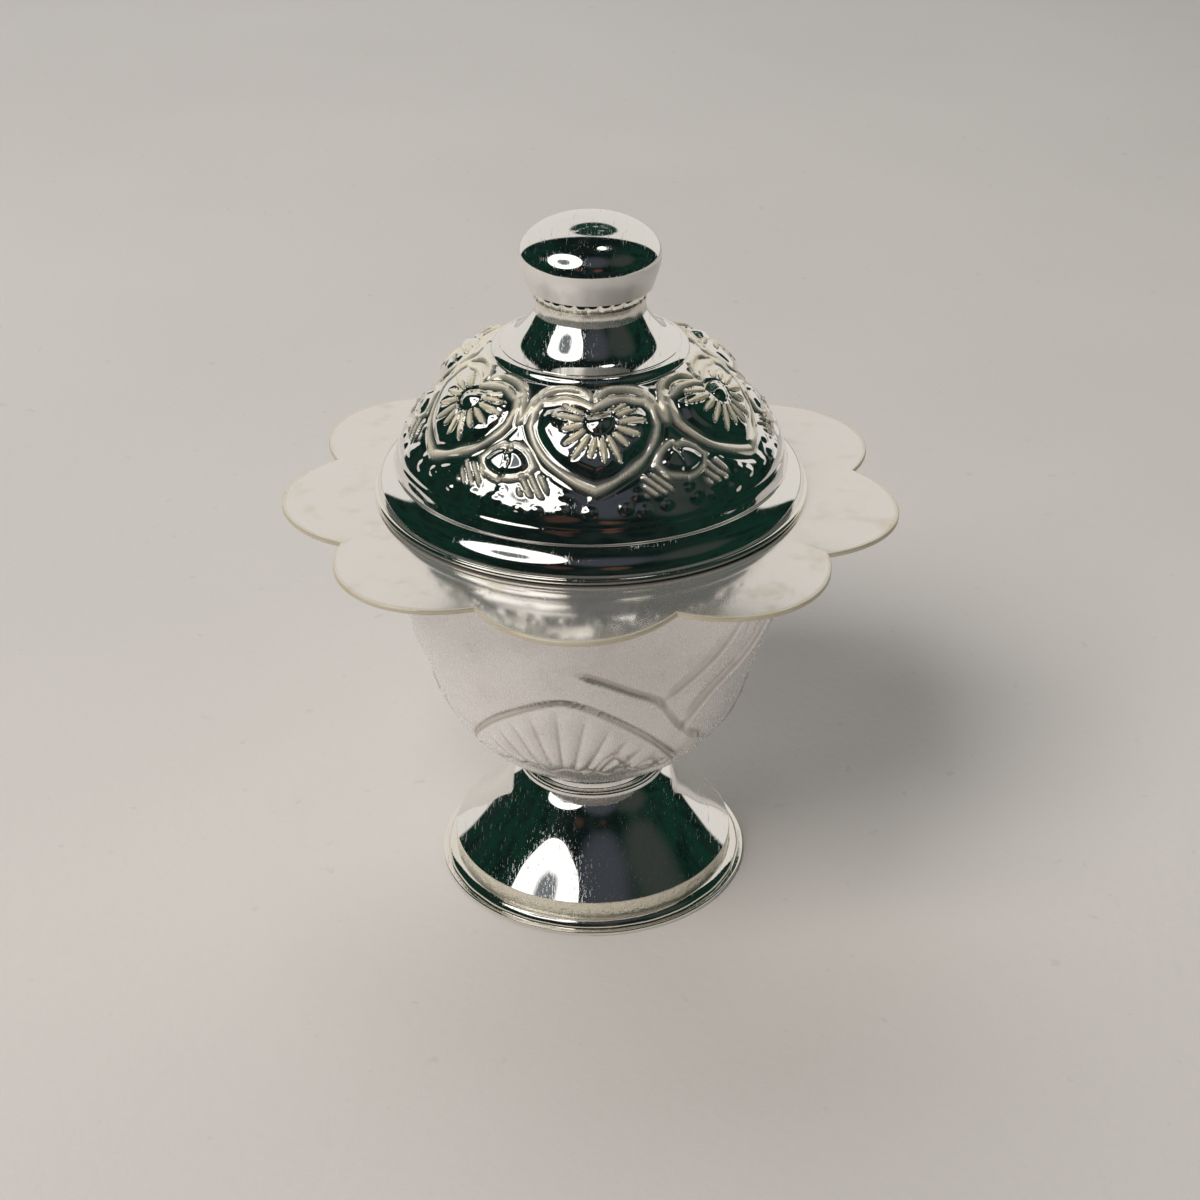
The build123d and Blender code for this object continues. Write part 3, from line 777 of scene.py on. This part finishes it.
turned("mouth_collar", box_section(18.1, 18.6, 41.0, 45.0, 0.15), PLAIN_STEPS, "base",
       ["rim_collar"], "polished")

# %% [markdown]
# A rounded wire finishes the lid's lower edge, and a stepped sleeve inside it slides over the collar.
# On top stands a flared neck of sheet silver with a plain satin ring, which carry the knob.

# %% Lid fittings and neck
NECK = [(8.5, 57.9), (7.4, 58.44), (6.45, 59.37), (5.7, 60.36), (5.25, 61.1)]
NECK_WALL, RING_BORE, WIRE_STEPS = 0.5, 4.05, 320
NECK_TOP, RING_TOP = 61.1, 62.45
wire = arc_of((20.6, 43.35), (0.3, 0.3), (180, 0), 14)
turned("lid_wire", rows(wire), WIRE_STEPS, "lid", ["lid_edge_wire"], "polished")
sleeve = [(18.75, LID_LOW), (20.1, LID_LOW), (20.1, 43.55), (19.25, 43.55), (19.25, 44.6), (18.75, 44.6)]
turned("lid_inner_sleeve", rounded(sleeve, 0.1), PLAIN_STEPS, "lid", ["lid_sleeve"], "polished")
neck_rows = smooth(NECK, 44)
neck_in = inset(neck_rows[::INSIDE_EVERY], NECK_WALL)[::-1]
neck_foot = [(9.4 - 0.8 * (1 - math.cos(t)), FLAT_TOP + 0.85 * math.sin(t))
             for t in np.linspace(0, math.pi / 2, 14)]
neck_outline = rows([(neck_in[-1][0], FLAT_TOP)], neck_foot, [(8.55, 57.8)], neck_rows,
                    [(4.75, NECK_TOP)], neck_in[1:])
turned("flared_neck", neck_outline, PLAIN_STEPS, "lid", ["knob_neck"], "polished")
ring_curve = smooth([(5.38, NECK_TOP), (5.25, NECK_TOP + 0.6), (5.36, RING_TOP)], 12)
turned("neck_ring", rows([(RING_BORE, NECK_TOP)], ring_curve, [(RING_BORE, RING_TOP)]), PLAIN_STEPS,
       "lid", ["knob_neck_ring"], "satin_ring", reshape=solder_wave(0.08, (3, 8, 19)))

# %% [markdown]
# Under the knob sits a toothed ring, like a wire pinched on by hand. Its teeth differ in width and
# height. Copies of one tooth would look cast, so one function swells a plain ring at uneven places.

# %% Toothed ring
TEETH = 26
STEPS_PER_TOOTH = 16
TOOTH_HALF_WIDTH, TOOTH_HEIGHT, TOOTH_INSIDE = 0.42, 0.34, 4.9
TEETH_TOP = 63.45
tooth_size = rng.uniform(0.45, 1.0, TEETH)
tooth_slip = rng.uniform(-0.3, 0.3, TEETH)


def pinch_teeth(place, azimuth, radius):
    """Lumps of different size round the ring, each highest at its middle."""
    turn = azimuth % 360 / (360 / TEETH)
    which = np.floor(turn).astype(int) % TEETH
    off_middle = turn - np.floor(turn) - 0.5 - tooth_slip[which] * 0.3
    bump = np.sqrt(np.clip(1 - (off_middle / TOOTH_HALF_WIDTH) ** 2, 0, 1)) * tooth_size[which]
    level = np.clip((place[:, 2] - RING_TOP) / (TEETH_TOP - RING_TOP), 0, 1)
    belly = np.sqrt(np.clip(1 - (2 * level - 1) ** 2, 0, 1))
    grow = np.where(radius > TOOTH_INSIDE, TOOTH_HEIGHT * bump * belly, 0)
    place[:, :2] *= (1 + grow / np.maximum(radius, 1))[:, None]
    return place


tooth_side = [(5.02, z) for z in np.linspace(RING_TOP, TEETH_TOP, 13)]
tooth_outline = rows([(RING_BORE, RING_TOP)], tooth_side, [(RING_BORE, TEETH_TOP)])
turned("toothed_ring", tooth_outline, TEETH * STEPS_PER_TOOTH, "lid", ["knob_crimp_ring"],
       "solder_band", reshape=pinch_teeth)

# %% [markdown]
# The knob is a hollow mushroom in two halves, raised from sheet and soldered at its widest line. The
# upper half is part of an ellipsoid, so its rows come straight from a cosine and a sine. The row at
# the pole is set to radius 0 exactly, and the merge then closes the pole.

# %% Knob
CUP = [(5.9, 63.5), (6.15, 64.3), (6.45, 65.3), (6.67, 66.45)]
KNOB_WALL, CUP_TOP = 0.5, 66.45
CUP_FLOOR, CUP_FLOOR_RADIUS, CUP_INSIDE_RADIUS = 63.95, 5.8, 4.8
CAP_RADIUS, CAP_HEIGHT, CAP_ROWS = 6.67, 3.55, 60
cup_rows = smooth(CUP, 32)
cup_in = inset(cup_rows[::INSIDE_EVERY], KNOB_WALL)[::-1]
cup_outline = rows([(0, TEETH_TOP), (CUP_FLOOR_RADIUS, TEETH_TOP)], cup_rows,
                   [(CAP_RADIUS - KNOB_WALL, CUP_TOP)], cup_in[1:-1],
                   [(CUP_INSIDE_RADIUS, CUP_FLOOR), (0, CUP_FLOOR)])
turned("knob_lower_half", cup_outline, PLAIN_STEPS, "lid", ["knob_cup"], "polished")


def cap_curve(radius, height, turns):
    """A quarter of an ellipse from the knob's widest line to its top."""
    return np.column_stack([radius * np.cos(turns), CUP_TOP + height * np.sin(turns)])


turns = np.linspace(0, math.pi / 2, CAP_ROWS)
cap_rows = cap_curve(CAP_RADIUS, CAP_HEIGHT, turns)
cap_in = cap_curve(CAP_RADIUS - KNOB_WALL, CAP_HEIGHT - KNOB_WALL, turns[::-INSIDE_EVERY])
cap_rows[-1, 0] = cap_in[0, 0] = 0.0
turned("knob_upper_half", rows(cap_rows, cap_in), PLAIN_STEPS, "lid", ["knob_cap"], "polished")

# %% [markdown]
# Shader maths reads best as ordinary arithmetic. The class below wraps one output of a node, so that
# adding or multiplying two of them makes the Math nodes, and one more method makes any other node.

# %% A small language for shaders
class Signal:
    def __init__(self, socket):
        self.socket = socket
        self.tree = socket.id_data

    def maths(self, operation, other):
        """A Math node of this signal and another one, or a number."""
        node = self.tree.nodes.new("ShaderNodeMath")
        node.operation = operation
        feed(node.inputs[0], self)
        feed(node.inputs[1], other)
        return Signal(node.outputs[0])

    def __add__(self, other):
        return self.maths("ADD", other)

    def __mul__(self, other):
        return self.maths("MULTIPLY", other)

    def __rsub__(self, other):
        return self * -1.0 + other

    __radd__ = __add__
    __rmul__ = __mul__

    def over(self, low, high):
        """0 below low, 1 above high, eased between."""
        return self.into("ShaderNodeMapRange", "Value", "Result", {"From Min": low, "From Max": high},
                         interpolation_type="SMOOTHSTEP")

    def into(self, kind, entry, exit_name, values=None, **settings):
        """Any other node: this signal goes in at entry, and the answer comes out at exit_name."""
        node = self.tree.nodes.new(kind)
        for key, value in settings.items():
            setattr(node, key, value)
        for key, value in (values or {}).items():
            feed(node.inputs[key], value)
        feed(node.inputs[entry], self)
        return Signal(node.outputs[exit_name])


def feed(slot, value):
    """Links a signal to a node's socket, or sets the socket to a plain value."""
    if isinstance(value, Signal):
        slot.id_data.links.new(value.socket, slot)
    else:
        slot.default_value = value


print("arithmetic on signals makes Math nodes")

# %% [markdown]
# Three patterns are enough for silver: cloudy noise, hairline scratches, which are noise squeezed in
# one direction, and a blend of two colours. A Mix node blends them, because a Math node would turn a
# colour grey. Its colour sockets come after its number and vector ones, at places 6 and 7.

# %% Patterns
HAIRLINE_SQUEEZE = (1.0, 0.03, 0.25)


def noise(where, scale, detail=4.0, rough=0.55):
    """Cloudy noise from 0 to 1."""
    return where.into("ShaderNodeTexNoise", "Vector", "Fac",
                      {"Scale": scale, "Detail": detail, "Roughness": rough})


def scratches(where, density, directions):
    """Fine hairlines in several directions, from noise that is squeezed in one direction."""
    total = None
    for turn in directions:
        scale = tuple(density * squeeze for squeeze in HAIRLINE_SQUEEZE)
        squeezed = where.into("ShaderNodeMapping", "Vector", "Vector", {"Scale": scale, "Rotation": turn})
        hair = noise(squeezed, 1.0, 2.0, 0.6).over(0.62, 0.74)
        total = hair if total is None else total.maths("MAXIMUM", hair)
    return total


def blend_colour(factor, below, above):
    """One colour laid over another where factor is 1. Each is a plain colour or another blend."""
    node = factor.tree.nodes.new("ShaderNodeMix")
    node.data_type = "RGBA"
    for slot, value in zip((node.inputs[0], node.inputs[6], node.inputs[7]), (factor, below, above)):
        feed(slot, value if isinstance(value, Signal) else (*value, 1))
    return Signal(node.outputs[2])


print("hairlines are", round(1 / HAIRLINE_SQUEEZE[1]), "times as long as they are wide")

# %% [markdown]
# All finishes are one recipe with different amounts. Clean silver and aged silver are mixed by
# recess, by tone and by cloudy noise. Hairlines and specks make the surface rougher where they run.
# Frost is how much of the surface scatters light, like silver whitened in acid, instead of
# mirroring it: the shader has no such setting, so the metallic share is lowered.

# %% Silver
CLOUD_SCALE, SPECK_SCALE, BUMP_DEPTH = 260, 9000, 0.00002
RECESS_SHOWN, PATCHES_SHOWN = (0.02, 0.2), (0.5, 0.75)
HAIR_TURNS = [(0.3, 0.2, 0.4), (1.1, 0.6, 1.9), (0.5, 1.4, 2.8)]


def metal(name, clean, aged, rough, hair_rough, hair_scale, hair_depth, tarnish, lumps,
          lump_scale=900, dull=0.3, frost=0.0, tone_frost=0.0, stain=0.14):
    """One silver finish. The numbers after the colours are amounts, and the scales are per metre."""
    material = bpy.data.materials.new(name)
    material.use_nodes = True
    tree = material.node_tree
    shader = tree.nodes["Principled BSDF"]
    where = Signal(tree.nodes.new("ShaderNodeTexCoord").outputs["Object"])
    layers = []
    for key in ("recess", "tone"):
        node = tree.nodes.new("ShaderNodeAttribute")
        node.attribute_name = key
        layers.append(Signal(node.outputs["Fac"]))
    recess, tone = layers
    cloud = noise(where, CLOUD_SCALE, 5, 0.6)
    age = recess.over(*RECESS_SHOWN) * tarnish + cloud.over(*PATCHES_SHOWN) * stain + tone
    age = age.maths("MINIMUM", 1.0)
    hairs = scratches(where, hair_scale, HAIR_TURNS)
    specks = noise(where, SPECK_SCALE, 2, 0.5).over(0.68, 0.78)
    worn = hairs * hair_rough + specks * hair_rough
    mirrored = 1.0 - frost
    feed(shader.inputs["Base Color"], blend_colour(age, clean, aged))
    feed(shader.inputs["Metallic"], mirrored - tone * tone_frost if tone_frost else mirrored)
    feed(shader.inputs["Roughness"], worn + age * 0.06 + tone * dull + cloud * 0.03 + rough)
    relief = hairs * hair_depth + noise(where, lump_scale, 3, 0.6) * lumps + specks * hair_depth
    feed(shader.inputs["Normal"], relief.into("ShaderNodeBump", "Height", "Normal",
                                              {"Strength": 1.0, "Distance": BUMP_DEPTH}))
    return material


print("a bump of height 1 stands", round(BUMP_DEPTH / MM, 3), "mm above the surface")

# %% [markdown]
# Seven silver surfaces, one for each slot: mirror polish, the lid's polish with cream tarnish, the
# rolled foot edge, the yellowed solder, the whitened bowl, the flange sheet and the satin ring.
# An eighth, frosted, is worn by the knob's lower half alone, and the toothed ring and the lid's wire
# borrow the foot edge's. Colours are linear.

# %% Finishes
SILVER = (0.93, 0.915, 0.885)
CREAM = (0.88, 0.80, 0.60)
BUFF = (0.84, 0.76, 0.6)
finishes = {
    "polished": metal("silver_polished", SILVER, BUFF, rough=0.02, hair_rough=0.3, hair_scale=6400,
                      hair_depth=-0.1, tarnish=0.4, lumps=0.06),
    "lid": metal("silver_embossed", SILVER, CREAM, rough=0.03, hair_rough=0.1, hair_scale=6000,
                 hair_depth=-0.08, tarnish=0.8, lumps=0.12, dull=0.25, tone_frost=0.6),
    "foot_rim": metal("silver_foot_rim", (0.93, 0.9, 0.83), (0.78, 0.68, 0.48), rough=0.05,
                      hair_rough=0.14, hair_scale=7000, hair_depth=-0.12, tarnish=0.6, lumps=0.6),
    "solder_band": metal("silver_solder", (0.88, 0.83, 0.7), (0.66, 0.56, 0.38), rough=0.2,
                         hair_rough=0.1, hair_scale=6000, hair_depth=-0.2, tarnish=1.0, lumps=7.0,
                         lump_scale=1700, frost=0.38),
    "satin_bowl": metal("silver_whitened", (0.97, 0.94, 0.925), (0.34, 0.26, 0.18), rough=0.25,
                        hair_rough=0.05, hair_scale=6500, hair_depth=-0.03, tarnish=0.5, lumps=0.06,
                        lump_scale=1500, dull=0.1, frost=0.42, tone_frost=0.3),
    "flange": metal("silver_sheet", (0.86, 0.825, 0.785), (0.70, 0.62, 0.46), rough=0.1,
                    hair_rough=0.06, hair_scale=9000, hair_depth=-0.04, tarnish=0.3, lumps=0.06,
                    frost=0.17, tone_frost=0.5, stain=0.5),
    "satin_ring": metal("silver_ring", (0.90, 0.87, 0.8), (0.72, 0.62, 0.44), rough=0.2,
                        hair_rough=0.1, hair_scale=6000, hair_depth=-0.2, tarnish=0.6, lumps=0.8,
                        frost=0.25),
}
frosted = metal("silver_frosted", (0.95, 0.925, 0.9), BUFF, rough=0.27, hair_rough=0.1,
                hair_scale=5200, hair_depth=-0.12, tarnish=0.4, lumps=0.1, frost=0.55)
own_look = {"knob_lower_half": frosted, "toothed_ring": finishes["foot_rim"],
            "lid_wire": finishes["foot_rim"]}
for obj in pieces:
    finish = own_look.get(obj.name, finishes[obj["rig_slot"]])
    obj.data.materials.append(finish)
    print(obj.name, "wears", finish.name)

# %% [markdown]
# The stage is a plain pale sheet, an oval that runs far back behind the box. It is a little mottled
# and dusty, because a perfectly even floor makes a picture look drawn.

# %% Sheet
SHEET_HALF_WIDTH, SHEET_HALF_DEPTH, SHEET_MIDDLE = 0.34, 0.35, 0.185
floor_mesh = bpy.data.meshes.new("floor")
bm = bmesh.new()
bmesh.ops.create_circle(bm, cap_ends=True, segments=96, radius=1.0)
bmesh.ops.scale(bm, vec=(SHEET_HALF_WIDTH, SHEET_HALF_DEPTH, 1), verts=bm.verts)
bmesh.ops.translate(bm, vec=(0, SHEET_MIDDLE, 0), verts=bm.verts)
bm.to_mesh(floor_mesh)
bm.free()
floor = bpy.data.objects.new("floor", floor_mesh)
bpy.context.scene.collection.objects.link(floor)
paper = bpy.data.materials.new("paper")
paper.use_nodes = True
sheet = paper.node_tree.nodes["Principled BSDF"]
sheet.inputs["Roughness"].default_value = 0.8
sheet.inputs["Specular IOR Level"].default_value = 0.1
on_paper = Signal(paper.node_tree.nodes.new("ShaderNodeTexCoord").outputs["Object"])
dust = noise(on_paper, 420, 2, 0.5).over(0.69, 0.76)
clouds = noise(on_paper, 9, 3, 0.5).over(0.3, 0.7) * 0.3 + dust * 0.5
feed(sheet.inputs["Base Color"], blend_colour(clouds, (0.67, 0.64, 0.61), (0.57, 0.545, 0.52)))
fibre = noise(on_paper, 700, 4, 0.6).into("ShaderNodeBump", "Height", "Normal",
                                          {"Strength": 0.4, "Distance": 0.0002})
feed(sheet.inputs["Normal"], fibre)
floor_mesh.materials.append(paper)
print("sheet is", SHEET_HALF_WIDTH * 2, "m wide")

# %% [markdown]
# Polished silver shows the room around it, so the room is part of the look: a dark green front with a
# few dim patches, a pale wall behind with a dark mottled patch, and one small light overhead. Each
# patch is a cone of directions, so two angles move it, which a photographed panorama wouldn't allow.
# The camera itself sees a plain pale backdrop: only reflections and soft light come from the room.

# %% Room
PALE = (0.71, 0.685, 0.65)
DARK, LESS_DARK, GREEN = (0.004, 0.009, 0.008), (0.012, 0.020, 0.018), (0.006, 0.028, 0.019)
LIGHT_OVERHEAD = (2.2, 2.2, 2.15)
world = bpy.data.worlds.new("room")
bpy.context.scene.world = world
world.use_nodes = True
tree = world.node_tree
tree.nodes.clear()
direction = Signal(tree.nodes.new("ShaderNodeTexCoord").outputs["Generated"])


def way_to(azimuth, elevation):
    """A direction. Azimuth 0 is the front, and plus is to the right."""
    a, e = math.radians(azimuth), math.radians(elevation)
    return Vector((math.sin(a) * math.cos(e), -math.cos(a) * math.cos(e), math.sin(e)))


def cone(azimuth, elevation, reach, soft):
    """1 for the directions within reach degrees of one direction, and 0 outside."""
    agree = direction.into("ShaderNodeVectorMath", 0, "Value", {1: way_to(azimuth, elevation)},
                           operation="DOT_PRODUCT")
    return agree.over(math.cos(math.radians(reach + soft)), math.cos(math.radians(max(reach - soft, 0.1))))


room = blend_colour(noise(direction, 3.1, 3, 0.6).over(0.4, 0.7), DARK, LESS_DARK)
green_clouds = noise(direction, 7.0, 4, 0.65).over(0.32, 0.6)
for azimuth in (-90, 90):
    room = blend_colour(cone(azimuth, 22, 38, 18) * green_clouds, room, GREEN)
for azimuth, elevation, reach, soft, colour in (
        (15, 52, 16, 8, (0.045, 0.05, 0.06)), (-14, 22, 6, 3, (0.05, 0.028, 0.022)),
        (16, 20, 6, 3, (0.08, 0.04, 0.03)), (66, 40, 16, 8, (0.035, 0.042, 0.038)),
        (180, 11.3, 49.7, 1.2, PALE)):
    room = blend_colour(cone(azimuth, elevation, reach, soft), room, colour)
glints = noise(direction, 9.0, 2, 0.5).over(0.6, 0.64)
mottled_patch = blend_colour(glints, (0.010, 0.035, 0.026), (0.55, 0.55, 0.52))
room = blend_colour(cone(180, 47, 12.5, 1.2), room, mottled_patch)
room = blend_colour(cone(120, 78, 4, 1), room, LIGHT_OVERHEAD)
seen_by_camera = Signal(tree.nodes.new("ShaderNodeLightPath").outputs["Is Camera Ray"])
background = tree.nodes.new("ShaderNodeBackground")
feed(background.inputs["Color"], blend_colour(seen_by_camera, room, PALE))
background.inputs["Strength"].default_value = 1.0
tree.links.new(background.outputs[0], tree.nodes.new("ShaderNodeOutputWorld").inputs[0])
print("room has", len(tree.nodes), "nodes")

# %% [markdown]
# Two soft lamps light the sheet and the satin parts. They stay out of the reflections, where a square
# lamp would show as a hard white patch. The strength says how bright a lamp's face is, so a larger
# lamp gives more light as well as a softer shadow.

# %% Lamps
AIM = Vector((0, 0, 0.04))


def lamp(name, azimuth, elevation, distance, size, strength, colour):
    """A square light that faces the box and is hidden from reflections."""
    data = bpy.data.lights.new(name, "AREA")
    data.shape = "SQUARE"
    data.size = size
    data.energy = strength * size * size * math.pi
    data.color = colour
    obj = bpy.data.objects.new(name, data)
    bpy.context.scene.collection.objects.link(obj)
    way = way_to(azimuth, elevation)
    facing = (-way).to_track_quat("-Z", "Z").to_matrix().to_4x4()
    obj.matrix_world = Matrix.Translation(way * distance + AIM) @ facing
    obj.visible_glossy = False
    print(name, "lamp gives", round(data.energy, 2), "W")


lamp("key", -38, 50, 1.0, 0.5, 10.3, (1.0, 0.965, 0.93))
lamp("fill", -150, 50, 0.7, 0.6, 1.35, (0.98, 0.985, 1.0))

# %% [markdown]
# What the mirror parts show as their bright spot is a small ring-shaped panel close to the front
# left. It is a glowing disc with a dark middle. Only reflections see it, so it throws no light on the
# sheet. Its dark middle is a pattern, because a disc with a real hole would show the room there.

# %% Ring-shaped panel
PANEL_RADIUS, PANEL_GLOW = 0.075, 1.4
PANEL_HOLE = (0.03, 0.042)
panel_spot = Vector((-0.088, -0.082, 0.174))
panel_aim = Vector((0, 0, 0.045))
panel_mesh = bpy.data.meshes.new("ring_panel")
bm = bmesh.new()
bmesh.ops.create_circle(bm, cap_ends=True, segments=48, radius=PANEL_RADIUS)
bm.to_mesh(panel_mesh)
bm.free()
panel = bpy.data.objects.new("ring_panel", panel_mesh)
bpy.context.scene.collection.objects.link(panel)
facing = (panel_aim - panel_spot).to_track_quat("Z", "Y").to_matrix().to_4x4()
panel.matrix_world = Matrix.Translation(panel_spot) @ facing
panel.visible_camera = panel.visible_diffuse = panel.visible_shadow = False
glow = bpy.data.materials.new("panel_glow")
glow.use_nodes = True
nodes = glow.node_tree.nodes
from_middle = Signal(nodes.new("ShaderNodeTexCoord").outputs["Object"])
off_middle = from_middle.into("ShaderNodeVectorMath", 0, "Value", operation="LENGTH")
ring_light = (off_middle + noise(from_middle, 22, 2, 0.5) * 0.02).over(*PANEL_HOLE)
shader = nodes["Principled BSDF"]
shader.inputs["Base Color"].default_value = (0.02, 0.03, 0.03, 1)
shader.inputs["Roughness"].default_value = 0.8
shader.inputs["Emission Strength"].default_value = PANEL_GLOW
feed(shader.inputs["Emission Color"], blend_colour(ring_light, (0.10, 0.11, 0.12), (1.0, 0.99, 0.97)))
panel_mesh.materials.append(glow)
print("panel stands", round(panel_spot.length / MM), "mm from the foot's middle")

# %% [markdown]
# The camera stands a little above the lid and slightly to the right of the front petal, close enough
# that the foot is seen from higher up than the lid. Its place comes from the rims in the photograph.

# %% Camera
SENSOR, FOCAL_LENGTH, NEAREST = 36, 64.32, 0.01
CAMERA_SPOT = Vector((0.83, -186.6, 135.92))
turn, pitch, roll = math.radians(3.1), math.radians(29.63), math.radians(0.17)
cam_data = bpy.data.cameras.new("camera")
cam_data.sensor_width = SENSOR
cam_data.sensor_fit = "HORIZONTAL"
cam_data.lens = FOCAL_LENGTH
cam_data.clip_start = NEAREST
camera = bpy.data.objects.new("camera", cam_data)
bpy.context.scene.collection.objects.link(camera)
spot = Matrix.Rotation(turn, 4, "Z") @ CAMERA_SPOT
camera.matrix_world = (Matrix.Translation(spot * MM) @ Matrix.Rotation(turn, 4, "Z")
                       @ Matrix.Rotation(math.pi / 2 - pitch, 4, "X") @ Matrix.Rotation(-roll, 4, "Z"))
bpy.context.scene.camera = camera
bpy.context.scene.view_settings.view_transform = "Standard"
print("camera stands at", [round(v, 1) for v in spot], "mm")
